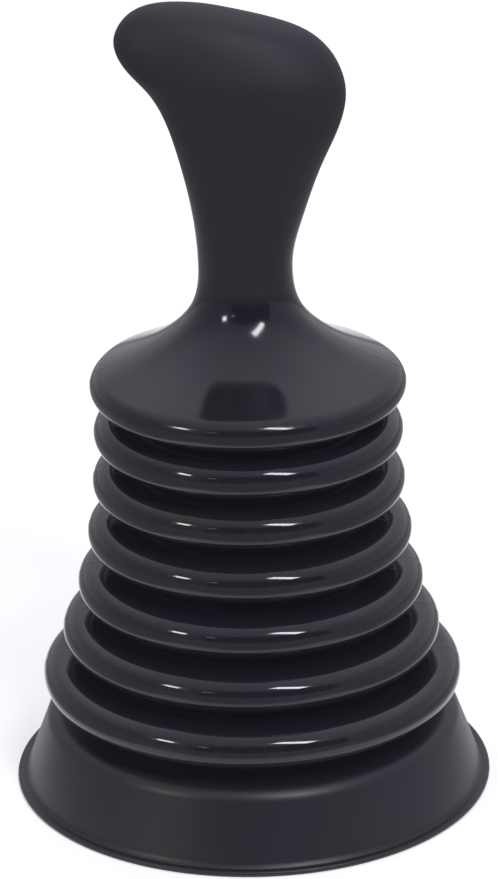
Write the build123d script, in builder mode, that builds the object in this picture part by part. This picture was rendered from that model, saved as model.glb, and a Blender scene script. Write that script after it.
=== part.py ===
"""Bellows sink plunger: a hollow palm grip, six bellows folds and a flared cup, moulded in one run.

Millimetres, +Z up. The origin is on the bellows axis, in the plane that the cup's rim stands on. The
grip's horn points along -X, and the object is symmetric about the XZ plane, where the mould halves meet.
Each fold, and each narrow ring between two folds, is its own piece, so that the bellows closes and leans.
"""

import os
from math import atan2, cos, degrees, hypot, pi, radians, sin, sqrt

from build123d import *

# cup
rim_radius = 70.0  # outer edge of the lip
lip_width = 2.6  # how far the lip stands out from the cup's wall
lip_height = 1.6
lip_edge_round = 0.7
cup_wall = 2.2
cup_corner_radius = 61.3  # where the cup's roof turns down into its wall
cup_corner_height = 17.0
cup_corner_round = 5.5
lowest_ring_height = 24.9

# bellows: fold 1 is the highest
fold_count = 6
top_fold_radius = 44.6
bottom_fold_radius = 61.3
flare_power = 2.1  # how late the folds widen
lowest_fold_height = 33.4
fold_pitches = [14.2, 14.8, 15.6, 15.6, 15.1, 14.3]  # from the lowest fold up to the shoulder
fold_depth = 13.0  # from a fold's outer edge in to the ring above it
fold_round = 5.4
root_round = 2.0  # the groove outside each ring
bellows_wall = 1.8
ring_height = 2.4

# shoulder and neck
shoulder_radius = 45.4
shoulder_round = 4.9
shoulder_slope = 25.0  # degrees from level, where the dome runs into the round edge
throat_radius = 14.8  # the dome's steep upper part
throat_drop = 9.5  # below the neck
dome_radius = 24.5  # the dome's gentle part
dome_drop = 20.9
dome_stations = 5  # places between neck and shoulder where the inner face is set off the outer one
neck_radius = 13.4
neck_height = 158.0

# grip: points of its side outline, out from the bellows axis and up from the neck
grip_wall = 2.6
grip_half_depth = 16.4
horn_outline = [
    (-18.2, 31.8),
    (-27.2, 53.0),
    (-33.5, 60.2),
    (-35.7, 66.6),
    (-31.0, 74.6),
    (-21.0, 77.2),
]
back_outline = [
    (16.5, 15.0),
    (22.2, 31.1),
    (27.2, 42.5),
    (28.8, 50.5),
    (26.9, 59.0),
    (19.9, 67.3),
    (8.5, 71.8),
]
grip_crown = (-7.0, 75.7)
crown_slope = 12.0  # degrees, falling towards the back of the hand
deepest_share = 0.58  # how far up its outline the grip is deepest
crown_taper = 1.4  # how late the depth closes towards the crown
grip_sections = 16
crown_share = 0.985  # where the outline's two sides close in the crown's small flat
cavity_share = 0.76  # where the hollow inside ends


def tangent_ends(first, second, inset):
    """Ends of the line that leaves one circle of the wall and meets the next, each given as (r, z, radius).

    Going down the outside, a radius is positive where the wall bulges out round the circle and negative where
    it is grooved. The inset moves the line from the wall's outer face into the wall.
    """
    across, up = second[0] - first[0], second[1] - first[1]
    first_radius, second_radius = first[2] - inset, second[2] - inset
    span = hypot(across, up)
    lean = (first_radius - second_radius) / span
    square = sqrt(1 - lean**2)
    out = (across * lean - up * square) / span, (up * lean + across * square) / span
    leave = first[0] + out[0] * first_radius, first[1] + out[1] * first_radius
    meet = second[0] + out[0] * second_radius, second[1] + out[1] * second_radius
    return leave, meet


def round_arc(circle, inset, start, end):
    """Arc of a circle of the wall, from one of its points down to another."""
    radius = circle[2] - inset
    start_angle = degrees(atan2(start[1] - circle[1], start[0] - circle[0]))
    turn = degrees(atan2(end[1] - circle[1], end[0] - circle[0])) - start_angle
    turn = turn % 360 if radius < 0 else -(-turn % 360)
    CenterArc((circle[0], circle[1]), abs(radius), start_angle, turn)


def root_point(ring, inset, rise):
    """Point of a ring's wall at a height above the ring's middle, on the side nearer the axis."""
    radius = ring[2] - inset
    return ring[0] - sqrt(radius**2 - rise**2), ring[1] + rise


def bulge_point(bulge, inset, slope):
    """Point of a bulge's wall where the outer face slopes down and out at an angle from level."""
    radius = bulge[2] - inset
    return bulge[0] + radius * sin(slope), bulge[1] + radius * cos(slope)


def wall_run(circles, inset, start, end=None):
    """Run of arcs and lines down the wall from a point on the first circle; returns where it ends."""
    here = start
    for first, second in zip(circles, circles[1:]):
        leave, meet = tangent_ends(first, second, inset)
        round_arc(first, inset, here, leave)
        Line(leave, meet)
        here = meet
    if end:
        round_arc(circles[-1], inset, here, end)
    return end or here


def keep(part, label):
    """Name a finished piece and write it."""
    part.label = label
    export_step(part, f"parts/{label}.step")
    size = part.bounding_box().size
    print(f"{label}: {size.X:.1f} x {size.Y:.1f} x {size.Z:.1f} mm, {part.volume / 1000:.2f} cm3")


os.makedirs("parts", exist_ok=True)

# The wall's circles from the shoulder down. Folds widen towards the cup, and a ring lies midway between
# two folds, as deep as its upper neighbour allows.
heights = [lowest_fold_height]
for pitch in fold_pitches:
    heights.insert(0, heights[0] + pitch)
fold_radii = [
    top_fold_radius + (bottom_fold_radius - top_fold_radius) * (number / (fold_count - 1)) ** flare_power
    for number in range(fold_count)
]
shoulder = (shoulder_radius - shoulder_round, heights[0], shoulder_round)
folds = [
    (radius - fold_round, height, fold_round) for radius, height in zip(fold_radii, heights[1:])
]
bulges = [(shoulder_radius, heights[0]), *zip(fold_radii, heights[1:])]
rings = [
    (min(above[0], below[0]) - fold_depth + root_round, (above[1] + below[1]) / 2, -root_round)
    for above, below in zip(bulges, bulges[1:])
]
rings.append((bottom_fold_radius - fold_depth + root_round, lowest_ring_height, -root_round))
half_ring = ring_height / 2

# rim lip: a flat outturned flange with a rounded edge
cup_corner = (cup_corner_radius - cup_corner_round, cup_corner_height, cup_corner_round)
cup_foot = (rim_radius - lip_width, lip_height, 0)
wall_top, wall_foot = tangent_ends(cup_corner, cup_foot, 0)
wall_lean = atan2(wall_foot[0] - wall_top[0], wall_top[1] - wall_foot[1])
lip_inner_radius = cup_foot[0] - cup_wall / cos(wall_lean)
with BuildPart() as rim_lip:
    with BuildSketch(Plane.XZ):
        with Locations(((lip_inner_radius + rim_radius) / 2, lip_height / 2)):
            Rectangle(rim_radius - lip_inner_radius, lip_height)
        edge_corners = vertices().group_by(Axis.X)[-1]
        fillet(edge_corners, lip_edge_round)
    revolve(axis=Axis.Z)
keep(rim_lip.part, "rim_lip")

# cup skirt: roof, corner and conical wall, cut level where it stands on the lip
with BuildPart() as cup_skirt:
    with BuildSketch(Plane.XZ):
        with BuildLine():
            start, inner_start = (root_point(rings[-1], inset, -half_ring) for inset in (0, cup_wall))
            end = wall_run([rings[-1], cup_corner, cup_foot], 0, start)
            inner_end = wall_run([rings[-1], cup_corner, cup_foot], cup_wall, inner_start)
            Line(start, inner_start)
            Line(end, inner_end)
        make_face()
    revolve(axis=Axis.Z)
    split(bisect_by=Plane.XY.offset(lip_height), keep=Keep.TOP)
keep(cup_skirt.part, "cup_skirt")

# hinge rings: the thin necks of the wall between two folds
for number, ring in enumerate(rings):
    with BuildPart() as hinge_ring:
        with BuildSketch(Plane.XZ):
            with BuildLine():
                for inset in (0, bellows_wall):
                    upper, lower = (root_point(ring, inset, rise) for rise in (half_ring, -half_ring))
                    round_arc(ring, inset, upper, lower)
                for rise in (half_ring, -half_ring):
                    Line(root_point(ring, 0, rise), root_point(ring, bellows_wall, rise))
            make_face()
        revolve(axis=Axis.Z)
    keep(hinge_ring.part, f"hinge_ring_{number}")

# bellows folds: each a hollow round-edged disc from the ring above it to the ring below it
for number, (fold, above, below) in enumerate(zip(folds, rings, rings[1:]), start=1):
    with BuildPart() as bellows_fold:
        with BuildSketch(Plane.XZ):
            with BuildLine():
                for inset in (0, bellows_wall):
                    upper, lower = root_point(above, inset, -half_ring), root_point(below, inset, half_ring)
                    wall_run([above, fold, below], inset, upper, lower)
                for ring, rise in ((above, -half_ring), (below, half_ring)):
                    Line(root_point(ring, 0, rise), root_point(ring, bellows_wall, rise))
            make_face()
        revolve(axis=Axis.Z)
    keep(bellows_fold.part, f"bellows_fold_{number}")

# the grip's two side outlines, from the neck over the horn and over the back to the crown
crown = (grip_crown[0], neck_height + grip_crown[1])
fall = (cos(radians(crown_slope)), -sin(radians(crown_slope)))
with BuildLine(Plane.XZ) as horn_side:
    points = [(-neck_radius, neck_height), *((x, neck_height + rise) for x, rise in horn_outline), crown]
    Spline(*points, tangents=((0, 1), fall))
with BuildLine(Plane.XZ) as back_side:
    points = [(neck_radius, neck_height), *((x, neck_height + rise) for x, rise in back_outline), crown]
    Spline(*points, tangents=((0, 1), (-fall[0], -fall[1])))


def half_depth(share):
    """Half the grip's depth at a share of its outline: it swells from the neck and closes to the crown."""
    swell = min(share / deepest_share, 1)
    closing = max((share - deepest_share) / (1 - deepest_share), 0)
    grown = neck_radius + (grip_half_depth - neck_radius) * swell**2 * (3 - 2 * swell)
    return grown * (1 - closing**crown_taper)


def grip_body(top_share, inset, mode):
    """Loft of ellipses that each span the grip from its horn side to its back."""
    sections = []
    for step in range(grip_sections):
        share = top_share * sin(pi / 2 * step / (grip_sections - 1))
        front, back = (side.line @ share for side in (horn_side, back_side))
        across = (back - front).normalized()
        section = Plane((front + back) / 2, x_dir=across, z_dir=across.cross(Vector(0, 1, 0)))
        with BuildSketch(section) as outline:
            Ellipse((back - front).length / 2 - inset, half_depth(share) - inset)
        sections.append(outline.sketch)
    loft(sections=sections, mode=mode)


# shoulder dome: from the neck's waist out to the rounded shoulder and in to the highest ring, one shell
slope = radians(shoulder_slope)
with BuildPart() as shoulder_dome:
    with BuildSketch(Plane.XZ):
        with BuildLine():
            outer_foot, inner_foot = (bulge_point(shoulder, inset, slope) for inset in (0, bellows_wall))
            dome = Spline(
                (neck_radius, neck_height),
                (throat_radius, neck_height - throat_drop),
                (dome_radius, neck_height - dome_drop),
                outer_foot,
                tangents=((0, -1), (cos(slope), -sin(slope))),
            )
            inner_points = []
            for station in range(dome_stations):
                share = station / dome_stations
                wall = grip_wall + (bellows_wall - grip_wall) * share
                along = dome % share
                inner_points.append(dome @ share + Vector(along.Y, -along.X) * wall)
            Spline(*inner_points, inner_foot, tangents=((0, -1), (cos(slope), -sin(slope))))
            for inset, foot in ((0, outer_foot), (bellows_wall, inner_foot)):
                wall_run([shoulder, rings[0]], inset, foot, root_point(rings[0], inset, half_ring))
            Line(root_point(rings[0], 0, half_ring), root_point(rings[0], bellows_wall, half_ring))
            Line((neck_radius, neck_height), inner_points[0])
        make_face()
    revolve(axis=Axis.Z)
keep(shoulder_dome.part, "shoulder_dome")

# grip: from the neck's waist to the crown, hollow like the bellows for most of its height
with BuildPart() as grip:
    grip_body(crown_share, 0, Mode.ADD)
    grip_body(cavity_share, grip_wall, Mode.SUBTRACT)
keep(grip.part, "grip")
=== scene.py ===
import bpy
import numpy as np
from mathutils import Matrix, Vector


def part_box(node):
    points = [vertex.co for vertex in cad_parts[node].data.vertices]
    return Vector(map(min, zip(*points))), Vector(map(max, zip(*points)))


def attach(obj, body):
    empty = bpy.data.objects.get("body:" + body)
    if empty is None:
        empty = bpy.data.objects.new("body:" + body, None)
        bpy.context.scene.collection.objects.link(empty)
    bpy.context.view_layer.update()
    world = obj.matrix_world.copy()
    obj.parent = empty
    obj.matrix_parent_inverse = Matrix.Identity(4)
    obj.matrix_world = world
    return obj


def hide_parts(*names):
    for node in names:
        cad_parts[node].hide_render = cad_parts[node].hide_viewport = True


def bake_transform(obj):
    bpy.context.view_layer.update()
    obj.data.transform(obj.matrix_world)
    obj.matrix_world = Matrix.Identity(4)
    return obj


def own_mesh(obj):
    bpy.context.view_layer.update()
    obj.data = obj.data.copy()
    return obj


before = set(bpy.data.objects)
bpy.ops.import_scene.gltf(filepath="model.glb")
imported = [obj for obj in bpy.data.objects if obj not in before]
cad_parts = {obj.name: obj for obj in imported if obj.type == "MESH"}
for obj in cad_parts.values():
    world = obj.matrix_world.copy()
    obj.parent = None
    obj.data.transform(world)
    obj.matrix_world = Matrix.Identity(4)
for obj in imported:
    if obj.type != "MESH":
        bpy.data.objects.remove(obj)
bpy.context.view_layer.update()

mm = 0.001

# how every piece is meshed, and the marks that the mould leaves on all of them
meshing = {
    "columns": 256,  # points round a piece
    "seamCrowding": 0.9,  # 0 spreads them evenly, near 1 crowds them at the parting line
    "arcStep": 4.0,  # degrees between points on a round edge
    "innerArcStep": 9.0,
    "lineCells": 7,  # cells along a straight stretch of the wall
    "domeRows": 70,
    "gripRows": 110,
    "cavityRows": 30,
    "innerDomeStride": 3,  # the dome's inside keeps one row in three
    "splineSteps": 1200,  # fine steps along which a curve's length is summed
    "lastShare": 0.996,  # where the grip's sections stop and a fan closes the crown
    "skirtRows": 24,
    "edgeRows": 15,
    "sharpAngle": 50.0,
}
mould = {
    "seamHeight": 0.05 * mm,  # the raised line where the mould halves met
    "seamHalfWidth": 0.40 * mm,
    "waveHeight": 0.08 * mm,  # slow unevenness of a blown wall
    "calmRadius": 14 * mm,  # the unevenness dies out nearer the axis than this
    # each wave: strength, turns round the axis, start of the turn, height per radian, start of the height
    "waves": (
        (1.0, 3, 0.7, 17 * mm, 0.4),
        (0.7, 5, 2.1, 9 * mm, 0.0),
        (0.5, 8, 4.0, 6 * mm, 1.3 + np.pi / 2),
    ),
}


def crowdedAngles():
    # angle = t - k/2 sin 2t: a full turn whose points crowd at 0 and 180 degrees, on the parting line
    turn = np.linspace(0, 2 * np.pi, meshing["columns"], endpoint=False)
    return turn - meshing["seamCrowding"] / 2 * np.sin(2 * turn)


def revolved(path, angles):
    # (r cos a, r sin a, z) for each point (r, z) of the path and each angle a: rows x columns x 3
    radius, height = path[:, 0, None], path[:, 1, None]
    return np.stack([radius * np.cos(angles), radius * np.sin(angles), height + 0 * angles], axis=-1)


def outwardNormals(grid):
    # cross product of the grid's two central differences; columns wrap round
    alongColumns = np.roll(grid, -1, axis=1) - np.roll(grid, 1, axis=1)
    alongRows = np.gradient(grid, axis=0)
    normal = np.cross(alongRows, alongColumns)
    return normal / np.maximum(np.linalg.norm(normal, axis=2, keepdims=True), 1e-12)


def mouldMarks(grid, wave=1.0):
    # moves a grid along its normals by a raised line exp(-(y / w)^2) on the XZ plane, and by slow waves
    # that are products of a few sines of the place round the axis and up it, dying out near the axis
    normal = outwardNormals(grid)
    x, y, z = np.moveaxis(grid, 2, 0)
    around = np.arctan2(y, x)
    seam = mould["seamHeight"] * np.exp(-((y / mould["seamHalfWidth"]) ** 2))
    slow = np.zeros_like(x)
    for strength, turns, turnStart, rise, riseStart in mould["waves"]:
        slow += strength * np.sin(turns * around + turnStart) * np.sin(z / rise + riseStart)
    slow *= np.clip(np.hypot(x, y) / mould["calmRadius"], 0, 1) ** 2
    return grid + normal * (seam + wave * mould["waveHeight"] * slow)[..., None]


def quadFaces(rows, columns, wrapRows=False):
    # four corners of each cell of a grid whose columns wrap round, as indices row * columns + column
    row = np.arange(rows if wrapRows else rows - 1)[:, None]
    column = np.arange(columns)[None, :]
    below, beside = (row + 1) % rows, (column + 1) % columns
    corners = [row * columns + column, below * columns + column, below * columns + beside]
    corners.append(row * columns + beside)
    return np.stack(np.broadcast_arrays(*corners), axis=-1).reshape(-1, 4)


def meshObject(name, points, quads, triangles=None, handled=0.0, matte=0.0):
    # one object at the origin from an n x 3 array of points and its faces, smooth with sharp corners kept
    mesh = bpy.data.meshes.new(name)
    faces = quads.tolist() + ([] if triangles is None else triangles.tolist())
    mesh.from_pydata(points.tolist(), [], faces)
    mesh.polygons.foreach_set("use_smooth", np.ones(len(faces), dtype=bool))
    mesh.update()
    mesh.set_sharp_from_angle(angle=np.radians(meshing["sharpAngle"]))
    for label, values in (("handled", handled), ("matte", matte)):
        attribute = mesh.attributes.new(label, "FLOAT", "POINT")
        attribute.data.foreach_set("value", np.broadcast_to(values, len(points)).astype(np.float32))
    piece = bpy.data.objects.new(name, mesh)
    bpy.context.scene.collection.objects.link(piece)
    return piece


def tangentEnds(first, second, inset):
    # ends of the line tangent to two circles (r, z, radius): c + n radius, where the line's unit normal n
    # has n . (c2 - c1) = r1 - r2; a radius is positive on a bulge and negative in a groove, and the inset
    # goes into the wall
    across, up = second[0] - first[0], second[1] - first[1]
    firstRadius, secondRadius = first[2] - inset, second[2] - inset
    span = np.hypot(across, up)
    lean = (firstRadius - secondRadius) / span
    square = np.sqrt(1 - lean**2)
    out = np.array([across * lean - up * square, up * lean + across * square]) / span
    leave = np.array(first[:2]) + out * firstRadius
    return leave, np.array(second[:2]) + out * secondRadius


def arcPoints(circle, inset, start, end, step):
    # points c + r (cos a, sin a) from start to end, clockwise round a bulge and the other way in a groove
    radius = circle[2] - inset
    startAngle = np.arctan2(start[1] - circle[1], start[0] - circle[0])
    turn = np.arctan2(end[1] - circle[1], end[0] - circle[0]) - startAngle
    turn = turn % (2 * np.pi) if radius < 0 else -(-turn % (2 * np.pi))
    count = max(2, int(np.ceil(abs(np.degrees(turn)) / step)) + 1)
    angle = startAngle + np.linspace(0, turn, count)
    return np.array(circle[:2]) + abs(radius) * np.stack([np.cos(angle), np.sin(angle)], axis=1)


def rootPoint(ring, inset, rise):
    # point of a groove's circle at a height above its middle, on the side nearer the axis
    radius = ring[2] - inset
    return np.array([ring[0] - np.sqrt(radius**2 - rise**2), ring[1] + rise])


def wallPath(circles, inset, start, end, step):
    # arcs and tangent lines over the circles in turn, from one point down the wall to another
    parts, here = [], np.array(start)
    for first, second in zip(circles, circles[1:]):
        leave, meet = tangentEnds(first, second, inset)
        parts.append(arcPoints(first, inset, here, leave, step))
        share = np.linspace(0, 1, meshing["lineCells"] + 1)[1:-1, None]
        parts.append(leave + (meet - leave) * share)
        here = meet
    parts.append(arcPoints(circles[-1], inset, here, end, step) if end is not None else here[None])
    return np.concatenate(parts)


def ringWall(name, outer, inner, handled=0.0, matte=0.0, wave=1.0):
    # closed section, down the outer path and back up the inner one, carried round the axis
    angles = crowdedAngles()
    outerGrid = mouldMarks(revolved(outer, angles), wave)
    innerGrid = revolved(inner[::-1], angles)
    grid = np.concatenate([outerGrid, innerGrid])
    rows, columns = grid.shape[:2]
    wear = np.zeros((rows, columns))
    wear[: len(outer)] = np.broadcast_to(handled, len(outer))[:, None]
    quads = quadFaces(rows, columns, wrapRows=True)
    return meshObject(name, grid.reshape(-1, 3), quads, handled=wear.ravel(), matte=matte)


bellows = {
    "folds": 6,
    "lowestFoldHeight": 33.4 * mm,
    "foldRound": 5.4 * mm,
    "rootRound": 2.0 * mm,
    "wall": 1.8 * mm,
    "scuffReach": 3.5 * mm,  # how far in from a fold's edge it is rubbed
}

ringBoxes = [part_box(f"hinge_ring_{number}") for number in range(bellows["folds"] + 1)]
halfRing = (ringBoxes[0][1].z - ringBoxes[0][0].z) / 2
rings = []
for low, high in ringBoxes:
    cutReach = np.sqrt(bellows["rootRound"] ** 2 - halfRing**2)
    rings.append((high.x + cutReach, (low.z + high.z) / 2, -bellows["rootRound"]))

# a ring lies midway between two folds, so each fold's height follows from the one below it
foldHeights = [bellows["lowestFoldHeight"]]
for ring in rings[-2::-1]:
    foldHeights.insert(0, 2 * ring[1] - foldHeights[0])
shoulderHeight, foldHeights = foldHeights[0], foldHeights[1:]


def makeRing(number):
    # the groove's arc between its two cuts, outside and inside
    ring = rings[number]
    paths = [
        arcPoints(ring, inset, rootPoint(ring, inset, halfRing), rootPoint(ring, inset, -halfRing), step)
        for inset, step in ((0, meshing["arcStep"]), (bellows["wall"], meshing["innerArcStep"]))
    ]
    piece = ringWall(f"hingeRing{number}", *paths)
    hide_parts(f"hinge_ring_{number}")
    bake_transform(piece)
    return piece


def makeFold(number):
    # groove, bulge, groove: from the ring above to the ring below
    above, below = rings[number - 1], rings[number]
    low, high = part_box(f"bellows_fold_{number}")
    reach = high.x
    bulge = (reach - bellows["foldRound"], foldHeights[number - 1], bellows["foldRound"])
    paths = [
        wallPath(
            [above, bulge, below],
            inset,
            rootPoint(above, inset, -halfRing),
            rootPoint(below, inset, halfRing),
            step,
        )
        for inset, step in ((0, meshing["arcStep"]), (bellows["wall"], meshing["innerArcStep"]))
    ]
    handled = np.exp(-(((reach - paths[0][:, 0]) / bellows["scuffReach"]) ** 2))
    piece = ringWall(f"bellowsFold{number}", *paths, handled=handled)
    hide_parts(f"bellows_fold_{number}")
    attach(piece, f"fold_{number}")
    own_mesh(piece)
    return piece


cup = {
    "wall": 2.2 * mm,
    "cornerRadius": 61.3 * mm,
    "cornerHeight": 17.0 * mm,
    "cornerRound": 5.5 * mm,
    "footFlare": 0.5 * mm,  # the wall runs out into the lip in a small hollow
    "cornerRubbed": 0.6,
    "cornerRubbedReach": 4 * mm,
    "lipEdge": 0.65 * mm,
    "lipRubbed": 0.5,
    "lipInsideSlant": 1.07,  # the leaning wall's thickness along the lip, as a share of the wall
    "lipInsideRise": (0.7, 0.3),  # heights of the lip's blunt inner edge, as shares of its thickness
    "lipColumns": 8,
}


def makeSkirt():
    # roof, rounded corner and conical wall; the last stretch flares out by a quarter circle into the lip
    low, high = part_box("cup_skirt")
    corner = (cup["cornerRadius"] - cup["cornerRound"], cup["cornerHeight"], cup["cornerRound"])
    foot = (high.x, low.z, 0)
    circles = [rings[-1], corner, foot]
    outer, inner = (
        wallPath(circles, inset, rootPoint(rings[-1], inset, -halfRing), None, step)
        for inset, step in ((0, meshing["arcStep"]), (cup["wall"], meshing["innerArcStep"]))
    )
    coneTop, coneFoot = tangentEnds(corner, foot, 0)
    cone = coneTop + (coneFoot - coneTop) * np.linspace(0, 1, meshing["skirtRows"])[1:, None]
    above = np.clip((cone[:, 1] - low.z) / cup["footFlare"], 0, 1)
    cone[:, 0] += cup["footFlare"] * (1 - np.sqrt(1 - (1 - above) ** 2))
    outer = np.concatenate([outer[: -meshing["lineCells"]], cone])
    # the inner line runs on or stops at the level of the skirt's foot
    inner[-1] += (inner[-2] - inner[-1]) * (low.z - inner[-1, 1]) / (inner[-2, 1] - inner[-1, 1])
    fromCorner = (outer[:, 1] - cup["cornerHeight"]) / cup["cornerRubbedReach"]
    handled = cup["cornerRubbed"] * np.exp(-(fromCorner**2))
    piece = ringWall("cupSkirt", outer, inner, handled=handled, matte=1.0)
    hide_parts("cup_skirt")
    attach(piece, "cup")
    return piece


def makeLip():
    # flat flange with a half-round outer edge
    low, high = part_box("rim_lip")
    innerRadius = -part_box("cup_skirt")[0].x - cup["wall"] * cup["lipInsideSlant"]
    thickness = high.z - low.z
    angle = np.radians(np.linspace(90, -90, meshing["edgeRows"]))
    edge = np.stack([np.cos(angle), np.sin(angle)], axis=1)
    edge = np.array([high.x - cup["lipEdge"], thickness / 2]) + edge * [cup["lipEdge"], thickness / 2]
    topRun = np.linspace(innerRadius, high.x - cup["lipEdge"], cup["lipColumns"])[:-1]
    top = np.stack([topRun, np.full_like(topRun, high.z)], axis=1)
    under = np.stack([topRun[::-1], np.full_like(topRun, low.z)], axis=1)
    outer = np.concatenate([top, edge, under])
    inner = np.array([[innerRadius, high.z * share] for share in cup["lipInsideRise"]])
    piece = ringWall("rimLip", outer, inner, handled=cup["lipRubbed"], matte=1.0, wave=0.0)
    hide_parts("rim_lip")
    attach(piece, "cup")
    return piece


grip = {
    "shoulderRadius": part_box("shoulder_dome")[1].x,
    "shoulderRound": 4.9 * mm,
    "shoulderSlope": 25.0,
    "throat": (14.8 * mm, -9.5 * mm),  # out from the axis, up from the neck
    "dome": (24.5 * mm, -20.9 * mm),
    "neckRadius": 13.4 * mm,
    "neckHeight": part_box("shoulder_dome")[1].z,
    "wall": 2.6 * mm,
    "halfDepth": 16.4 * mm,
    "deepestShare": 0.58,
    "crownTaper": 1.4,
    "fullness": 0.2,  # how much squarer than an ellipse the head's sections are
    "crownSlope": 12.0,
    "cavityShare": 0.76,  # how far up the grip its hollow goes
    "matteHeights": (4 * mm, 44 * mm),  # above the neck, where gloss gives way to a fine texture
}
# points of the grip's side outline, out from the axis and up from the neck
hornOutline = np.array(
    [(-18.2, 31.8), (-27.2, 53.0), (-33.5, 60.2), (-35.7, 66.6), (-31.0, 74.6), (-21.0, 77.2)]
)
backOutline = np.array(
    [(16.5, 15.0), (22.2, 31.1), (27.2, 42.5), (28.8, 50.5), (26.9, 59.0), (19.9, 67.3), (8.5, 71.8)]
)
gripCrown = np.array([-7.0, 75.7])


def splineThrough(points, startWay, endWay, count):
    # clamped cubic spline on chord length t: second slopes M solve h M(i-1) + 2 (h + k) M(i) + k M(i+1) =
    # 6 times the change of chord slope; returns a number of evenly spaced points, or the points at given
    # shares of its length
    points = np.asarray(points, float)
    startWay, endWay = np.asarray(startWay, float), np.asarray(endWay, float)
    gap = np.linalg.norm(np.diff(points, axis=0), axis=1)
    knots = np.concatenate([[0], np.cumsum(gap)])
    slope = np.diff(points, axis=0) / gap[:, None]
    size = len(points)
    matrix = np.zeros((size, size))
    matrix[np.arange(size - 1), np.arange(1, size)] = gap
    matrix[np.arange(1, size), np.arange(size - 1)] = gap
    matrix[np.arange(size), np.arange(size)] = 2 * (np.append(gap, 0) + np.append(0, gap))
    ends = np.concatenate([startWay[None], slope, endWay[None]])
    curve = np.linalg.solve(matrix, 6 * np.diff(ends, axis=0))
    fine = np.linspace(0, knots[-1], meshing["splineSteps"])
    cell = np.clip(np.searchsorted(knots, fine, side="right") - 1, 0, size - 2)
    left, width = (fine - knots[cell])[:, None], gap[cell][:, None]
    right = width - left
    line = (
        (curve[cell] * right**3 + curve[cell + 1] * left**3) / (6 * width)
        + (points[cell] / width - curve[cell] * width / 6) * right
        + (points[cell + 1] / width - curve[cell + 1] * width / 6) * left
    )
    length = np.concatenate([[0], np.cumsum(np.linalg.norm(np.diff(line, axis=0), axis=1))])
    wanted = np.linspace(0, 1, count) if np.isscalar(count) else count
    return np.stack([np.interp(wanted * length[-1], length, line[:, axis]) for axis in (0, 1)], axis=1)


def gripSections(shares):
    # for each share of the outline: middle and half-span of the line from the horn side to the back,
    # and half the depth, which swells by 3s^2 - 2s^3 and closes by 1 - t^p
    slope = np.radians(grip["crownSlope"])
    base = np.array([0, grip["neckHeight"]])
    sides = []
    for sign, outline in ((-1, hornOutline), (1, backOutline)):
        neckPoint = np.array([[sign * grip["neckRadius"], grip["neckHeight"]]])
        points = np.concatenate([neckPoint, outline * mm + base, (gripCrown * mm + base)[None]])
        way = (-sign * np.cos(slope), sign * np.sin(slope))
        sides.append(splineThrough(points, (0, 1), way, shares))
    front, back = sides
    swell = np.minimum(shares / grip["deepestShare"], 1)
    closing = np.maximum((shares - grip["deepestShare"]) / (1 - grip["deepestShare"]), 0)
    grown = grip["neckRadius"] + (grip["halfDepth"] - grip["neckRadius"]) * swell**2 * (3 - 2 * swell)
    return (front + back) / 2, (back - front) / 2, grown * (1 - closing ** grip["crownTaper"]), swell


def gripGrid(shares, inset, angles):
    # middle + across * rho cos a + Y * depth rho sin a, where rho = (|cos a|^n + |sin a|^n)^(-1/n) and n
    # grows from 2 at the round neck to 2 + fullness in the head
    middle, across, depth, swell = gripSections(shares)
    span = np.linalg.norm(across, axis=1)
    across = across * ((span - inset) / span)[:, None]
    power = 2 + grip["fullness"] * (swell**2 * (3 - 2 * swell))[:, None]
    c, s = np.cos(angles)[None], np.sin(angles)[None]
    rho = (np.abs(c) ** power + np.abs(s) ** power) ** (-1 / power)
    x = middle[:, :1] + across[:, :1] * rho * c
    z = middle[:, 1:] + across[:, 1:] * rho * c
    return np.stack([x, (depth - inset)[:, None] * rho * s, z], axis=-1)


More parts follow.
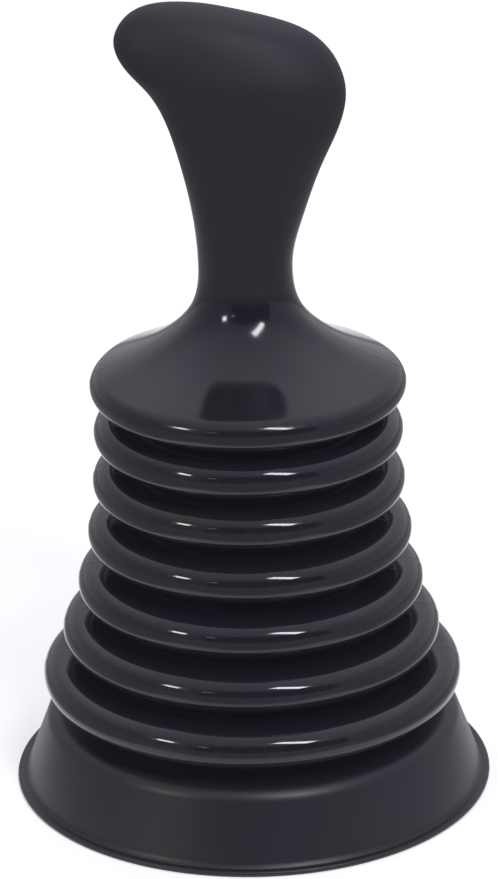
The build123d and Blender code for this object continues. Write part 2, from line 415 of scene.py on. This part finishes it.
def makeGrip():
    # outside: shoulder, dome and neck turned round the axis, then the grip's sections up to a closed
    # crown; inside: the same run one wall further in, up to the hollow's flat end
    angles = crowdedAngles()
    columns = len(angles)
    slope = np.radians(grip["shoulderSlope"])
    shoulder = (grip["shoulderRadius"] - grip["shoulderRound"], shoulderHeight, grip["shoulderRound"])
    runs = []
    facing = np.array([np.sin(slope), np.cos(slope)])
    for inset, step in ((0, meshing["arcStep"]), (bellows["wall"], meshing["innerArcStep"])):
        domeFoot = np.array(shoulder[:2]) + facing * (shoulder[2] - inset)
        edge = wallPath([shoulder, rings[0]], inset, domeFoot, rootPoint(rings[0], inset, halfRing), step)
        runs.append((domeFoot, edge))
    neck = np.array([grip["neckRadius"], grip["neckHeight"]])
    points = [neck, neck * [0, 1] + grip["throat"], neck * [0, 1] + grip["dome"], runs[0][0]]
    dome = splineThrough(points, (0, -1), (np.cos(slope), -np.sin(slope)), meshing["domeRows"])
    share = np.linspace(0, 1, len(dome))[:, None]
    way = np.gradient(dome, axis=0)
    way /= np.linalg.norm(way, axis=1, keepdims=True)
    thickness = grip["wall"] + (bellows["wall"] - grip["wall"]) * share
    innerDome = dome + np.stack([way[:, 1], -way[:, 0]], axis=1) * thickness
    innerDome = innerDome[:: meshing["innerDomeStride"]]

    outerRun = np.concatenate([dome[:-1], runs[0][1]])[::-1]
    innerRun = np.concatenate([innerDome[:-1], runs[1][1]])[::-1]
    outerShares = meshing["lastShare"] * np.sin(np.pi / 2 * np.linspace(0, 1, meshing["gripRows"]))[1:]
    innerShares = grip["cavityShare"] * np.linspace(0, 1, meshing["cavityRows"])[1:]
    outerGrid = np.concatenate([revolved(outerRun, angles), gripGrid(outerShares, 0, angles)])
    outerGrid = mouldMarks(outerGrid[::-1])[::-1]
    innerGrid = np.concatenate([revolved(innerRun, angles), gripGrid(innerShares, grip["wall"], angles)])

    crownPoint, ceiling = outerGrid[-1].mean(axis=0), innerGrid[-1].mean(axis=0)
    grid = np.concatenate([outerGrid[::-1], innerGrid])
    rows = len(grid)
    allPoints = np.concatenate([grid.reshape(-1, 3), [crownPoint, ceiling]])
    here = np.arange(columns)
    beside = (here + 1) % columns
    crownFan = np.stack([np.full(columns, rows * columns), here, beside], axis=1)
    lastRow = (rows - 1) * columns
    ceilingFan = np.stack([lastRow + here, np.full(columns, rows * columns + 1), lastRow + beside], axis=1)
    height = allPoints[:, 2]
    low, high = grip["matteHeights"]
    matte = np.clip((height - grip["neckHeight"] - low) / (high - low), 0, 1)
    edgeOut = np.linalg.norm(allPoints[:, :2], axis=1)
    rubbed = np.exp(-(((grip["shoulderRadius"] - edgeOut) / bellows["scuffReach"]) ** 2))
    handled = np.where(height < grip["neckHeight"], rubbed, 0)
    fans = np.concatenate([crownFan, ceilingFan])
    piece = meshObject("gripAndShoulder", allPoints, quadFaces(rows, columns), fans, handled, matte)
    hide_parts("grip", "shoulder_dome")
    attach(piece, "handle")
    return piece


print("making the wall")
bellowsPieces = [makeSkirt(), makeLip()]
bellowsPieces += [makeRing(number) for number in range(bellows["folds"] + 1)]
bellowsPieces += [makeFold(number) for number in range(1, bellows["folds"] + 1)]
gripPiece = makeGrip()
print("made", len(bellowsPieces) + 1, "pieces")


def mathNode(nodes, links, operation, first, second=None):
    # one operation on one or two numbers, each a plain value or another node's output
    node = nodes.new("ShaderNodeMath")
    node.operation = operation
    for socket, source in zip(node.inputs, (first, second)):
        if isinstance(source, (int, float)):
            socket.default_value = source
        elif source is not None:
            links.new(source, socket)
    return node.outputs["Value"]


def rangeNode(nodes, links, source, low, high, toLow, toHigh):
    # smooth step from one value to another while the source goes from low to high
    node = nodes.new("ShaderNodeMapRange")
    node.interpolation_type = "SMOOTHSTEP"
    for socket, value in zip(("From Min", "From Max", "To Min", "To Max"), (low, high, toLow, toHigh)):
        node.inputs[socket].default_value = value
    links.new(source, node.inputs["Value"])
    return node.outputs["Result"]


def mixNode(nodes, links, share, first, second, kind="FLOAT"):
    # first (1 - share) + second share, of two numbers or two colours
    node = nodes.new("ShaderNodeMix")
    node.data_type = kind
    for socket, source in zip(("Factor", "A", "B"), (share, first, second)):
        if isinstance(source, tuple):
            node.inputs[socket].default_value = (*source, 1)
        elif isinstance(source, (int, float)):
            node.inputs[socket].default_value = source
        else:
            links.new(source, node.inputs[socket])
    return node.outputs["Result"]


# noise shared by both plastics: size, detail and roughness, then where its smooth step starts and stops
plastic = {
    "ior": 1.46,
    "scuffs": ((4 * mm, 5.0, 0.7), (0.42, 0.66)),
    # clouds of painted bluish sheen: noise detail and roughness, then where its smooth step starts and stops
    "paintedSheen": ((2.0, 0.5), (0.40, 0.66)),  # its size is each finish's own
    "clouds": ((22 * mm, 4.0, 0.6), (0.35, 0.65)),
}
bellowsFinish = {
    "colour": (0.0095, 0.0086, 0.0115),
    "paintedSheenColour": (0.0078, 0.0088, 0.0175),  # painted bluish sheen, laid into the colour in random clouds
    "rubbedColour": (0.0130, 0.0122, 0.0160),
    "paintedSheenSize": 34 * mm,
    "roughness": (0.05, 0.09),  # clean skin, clouded skin
    "rubbedRoughness": 0.12,
    "matteRoughness": 0.40,
    "peel": (4.5 * mm, 0.005 * mm, 1.0),  # size, height and detail of the orange peel
    "grain": (0.35 * mm, 0.0005 * mm, 3.0),
}
gripFinish = {
    "colour": (0.0095, 0.0086, 0.0115),
    # painted bluish sheen on the grip, laid into the colour in random clouds
    "paintedSheenColour": (0.0080, 0.0082, 0.0180),
    "rubbedColour": (0.0115, 0.0105, 0.0145),
    "paintedSheenSize": 26 * mm,
    "roughness": (0.09, 0.13),
    "rubbedRoughness": 0.18,
    "matteRoughness": 0.60,
    "peel": (6.0 * mm, 0.006 * mm, 1.0),
    "grain": (0.30 * mm, 0.0008 * mm, 3.0),
}


def mouldedPlastic(name, finish):
    # black moulded polyethylene: clouds of painted bluish sheen in the colour, cloudy gloss, rubbed edges,
    # orange peel and fine mould grain
    material = bpy.data.materials.new(name)
    material.use_nodes = True
    tree = material.node_tree
    tools = (tree.nodes, tree.links)
    shader = tree.nodes["Principled BSDF"]
    shader.inputs["IOR"].default_value = plastic["ior"]
    place = tree.nodes.new("ShaderNodeTexCoord").outputs["Object"]

    def noise(size, detail, rough=0.5):
        # cloudy noise about as coarse as the size: its scale is 1 / size
        node = tree.nodes.new("ShaderNodeTexNoise")
        node.inputs["Scale"].default_value = 1 / size
        node.inputs["Detail"].default_value = detail
        node.inputs["Roughness"].default_value = rough
        tree.links.new(place, node.inputs["Vector"])
        return node.outputs["Fac"]

    def stored(label):
        # the value that meshObject put on each point under this label
        node = tree.nodes.new("ShaderNodeAttribute")
        node.attribute_name = label
        return node.outputs["Fac"]

    pattern, limits = plastic["scuffs"]
    scuffs = rangeNode(*tools, noise(*pattern), *limits, 0.0, 1.0)
    rubbing = mathNode(*tools, "MULTIPLY", stored("handled"), scuffs)
    # painted bluish sheen: random clouds of a bluer colour mixed into the base colour
    pattern, limits = plastic["paintedSheen"]
    paintedSheen = rangeNode(*tools, noise(finish["paintedSheenSize"], *pattern), *limits, 0.0, 1.0)
    colour = mixNode(*tools, paintedSheen, finish["colour"], finish["paintedSheenColour"], "RGBA")
    colour = mixNode(*tools, rubbing, colour, finish["rubbedColour"], "RGBA")
    tree.links.new(colour, shader.inputs["Base Color"])
    pattern, limits = plastic["clouds"]
    gloss = rangeNode(*tools, noise(*pattern), *limits, *finish["roughness"])
    gloss = mixNode(*tools, rubbing, gloss, finish["rubbedRoughness"])
    gloss = mixNode(*tools, stored("matte"), gloss, finish["matteRoughness"])
    tree.links.new(gloss, shader.inputs["Roughness"])

    relief = None
    for size, height, detail in (finish["peel"], finish["grain"]):
        bump = tree.nodes.new("ShaderNodeBump")
        bump.inputs["Distance"].default_value = height
        tree.links.new(noise(size, detail), bump.inputs["Height"])
        if relief is not None:
            tree.links.new(relief, bump.inputs["Normal"])
        relief = bump.outputs["Normal"]
    tree.links.new(relief, shader.inputs["Normal"])
    return material


bellowsMaterial = mouldedPlastic("bellowsPlastic", bellowsFinish)
gripMaterial = mouldedPlastic("gripPlastic", gripFinish)
for piece in bellowsPieces:
    piece.data.materials.append(bellowsMaterial)
gripPiece.data.materials.append(gripMaterial)
print("materials set")


studio = {
    "floorSize": 9.0,
    "floorRoughness": 0.7,
    "paperColour": 0.90,  # a white sheet under the object and behind it
    "paperGlow": 0.30,
    "floorColour": 0.38,  # pale grey floor on both sides of it and in front
    "paperHalfWidth": (0.086, 0.125),  # where the white starts and stops giving way to the grey
    "paperSpread": 0.075,  # how much the sheet widens towards the back
    "paperFront": (-0.088, -0.13),
    "tint": (1.0, 0.975, 1.06),
    "lowSky": (0.09, 0.16, 0.47),  # brightness to the right, to the back, and everywhere
    "highSky": (0.10, 0.42, 0.88),
    "skyHeights": (0.40, 0.85),  # sines of the heights where the low sky starts and stops giving way
    "window": ((-0.60, 1.25), (0.04, 0.80)),  # dark opening towards the viewer, per metre of distance: x, z
    "windowEdge": 0.10,
    "windowDark": 0.07,
    "leastAhead": 0.001,  # keeps the window's slopes finite sideways and behind
    "lampsAim": (0, 0, 0.11),
    "glare": (-0.0058, -0.0052, -0.0068),  # a little light scattered in the camera's lens lifts the blacks
}
# name: bearing from the viewer's side and height in degrees, turn, distance, size, radiance, colour
lamps = {
    "stripRight": (27.0, 45.0, 32.0, 1.6, (0.20, 0.62), 25.0, (0.97, 0.95, 1.0)),
    "lampLeft": (-50.0, 26.0, 0.0, 1.6, (0.25, 0.19), 24.0, (1.0, 0.94, 0.84)),
    "lampFaint": (-27.0, 23.0, 0.0, 1.6, (0.16, 0.06), 5.0, (1.0, 0.95, 0.88)),
}


def makeFloor():
    # white where |x| - spread y and -y are both small, grey elsewhere
    half = studio["floorSize"] / 2
    corners = np.array([[-half, -half, 0], [half, -half, 0], [half, half, 0], [-half, half, 0]])
    mesh = bpy.data.meshes.new("floor")
    mesh.from_pydata(corners.tolist(), [], [(0, 1, 2, 3)])
    floor = bpy.data.objects.new("floor", mesh)
    bpy.context.scene.collection.objects.link(floor)
    material = bpy.data.materials.new("paleFloor")
    material.use_nodes = True
    shader = material.node_tree.nodes["Principled BSDF"]
    shader.inputs["Roughness"].default_value = studio["floorRoughness"]
    tools = nodes, links = material.node_tree.nodes, material.node_tree.links
    parts = nodes.new("ShaderNodeSeparateXYZ")
    place = nodes.new("ShaderNodeTexCoord").outputs["Object"]
    links.new(place, parts.inputs["Vector"])
    wider = mathNode(*tools, "MULTIPLY", parts.outputs["Y"], studio["paperSpread"])
    across = mathNode(*tools, "SUBTRACT", mathNode(*tools, "ABSOLUTE", parts.outputs["X"]), wider)
    beside = rangeNode(*tools, across, *studio["paperHalfWidth"], 1.0, 0.0)
    ahead = rangeNode(*tools, parts.outputs["Y"], *studio["paperFront"], 1.0, 0.0)
    paper = mathNode(*tools, "MULTIPLY", beside, ahead)
    grey = mixNode(*tools, paper, studio["floorColour"], studio["paperColour"])
    links.new(grey, shader.inputs["Base Color"])
    shader.inputs["Emission Color"].default_value = (1, 1, 1, 1)
    links.new(mathNode(*tools, "MULTIPLY", paper, studio["paperGlow"]), shader.inputs["Emission Strength"])
    mesh.materials.append(material)


def makeSurround():
    # brightness = a x + b y + c for the low sky and for the high one, blended by the height z; the dark
    # window is a rectangle of x / -y and z / -y, where y is negative
    world = bpy.data.worlds.new("studio")
    bpy.context.scene.world = world
    world.use_nodes = True
    tools = nodes, links = world.node_tree.nodes, world.node_tree.links
    way = nodes.new("ShaderNodeTexCoord").outputs["Generated"]
    parts = nodes.new("ShaderNodeSeparateXYZ")
    links.new(way, parts.inputs["Vector"])
    skies = []
    for toRight, toBack, everywhere in (studio["lowSky"], studio["highSky"]):
        slanted = nodes.new("ShaderNodeVectorMath")
        slanted.operation = "DOT_PRODUCT"
        slanted.inputs[1].default_value = (toRight, toBack, 0)
        links.new(way, slanted.inputs[0])
        skies.append(mathNode(*tools, "ADD", slanted.outputs["Value"], everywhere))
    sky = mixNode(*tools, rangeNode(*tools, parts.outputs["Z"], *studio["skyHeights"], 0.0, 1.0), *skies)
    ahead = mathNode(*tools, "MULTIPLY", parts.outputs["Y"], -1.0)
    ahead = mathNode(*tools, "MAXIMUM", ahead, studio["leastAhead"])
    inside = 1.0
    for socket, (low, high) in zip(("X", "Z"), studio["window"]):
        place = mathNode(*tools, "DIVIDE", parts.outputs[socket], ahead)
        for edge, before, after in ((low, 0.0, 1.0), (high, 1.0, 0.0)):
            limits = (edge - studio["windowEdge"], edge + studio["windowEdge"], before, after)
            inside = mathNode(*tools, "MULTIPLY", rangeNode(*tools, place, *limits), inside)
    sky = mixNode(*tools, inside, sky, studio["windowDark"])
    background = nodes["Background"]
    background.inputs["Color"].default_value = (*studio["tint"], 1)
    links.new(sky, background.inputs["Strength"])


def makeLamp(name, bearing, height, turn, distance, size, radiance, colour):
    # an area light's radiance is its power over pi times its area
    light = bpy.data.lights.new(name, "AREA")
    light.shape = "RECTANGLE"
    light.size, light.size_y = size
    light.energy = radiance * np.pi * size[0] * size[1]
    light.color = colour
    lamp = bpy.data.objects.new(name, light)
    bpy.context.scene.collection.objects.link(lamp)
    around, up = np.radians(bearing), np.radians(height)
    way = Vector((np.sin(around) * np.cos(up), -np.cos(around) * np.cos(up), np.sin(up)))
    middle = Vector(studio["lampsAim"])
    facing = (-way).to_track_quat("-Z", "Y").to_matrix().to_4x4()
    rolled = facing @ Matrix.Rotation(np.radians(turn), 4, "Z")
    lamp.matrix_world = Matrix.Translation(middle + way * distance) @ rolled


camera = {
    "place": (0.0, -1.1039, 0.5506),
    "aim": (0.00015, 0.0, 0.10505),
    "lens": 169.2,
    "sensorHeight": 36.0,
    "clip": (0.05, 50.0),
    "roll": 0.95,  # degrees; the object's top leans to the left
}


def makeCamera():
    # right = ahead x Z and up = right x ahead, then both turned about ahead by the roll
    data = bpy.data.cameras.new("camera")
    data.sensor_fit = "VERTICAL"
    data.sensor_height = camera["sensorHeight"]
    data.lens = camera["lens"]
    data.clip_start, data.clip_end = camera["clip"]
    item = bpy.data.objects.new("camera", data)
    bpy.context.scene.collection.objects.link(item)
    place = Vector(camera["place"])
    ahead = (Vector(camera["aim"]) - place).normalized()
    right = ahead.cross(Vector((0, 0, 1))).normalized()
    up = right.cross(ahead)
    lean = np.radians(camera["roll"])
    tiltedUp = up * np.cos(lean) + right * np.sin(lean)
    tiltedRight = ahead.cross(tiltedUp)
    turned = Matrix((tiltedRight, tiltedUp, -ahead)).transposed().to_4x4()
    item.matrix_world = Matrix.Translation(place) @ turned
    bpy.context.scene.camera = item


makeFloor()
makeSurround()
for lampName, lampValues in lamps.items():
    makeLamp(lampName, *lampValues)
makeCamera()
view = bpy.context.scene.view_settings
view.view_transform = "Standard"
view.use_curve_mapping = True
view.curve_mapping.black_level = studio["glare"]
view.curve_mapping.update()
print("studio ready")
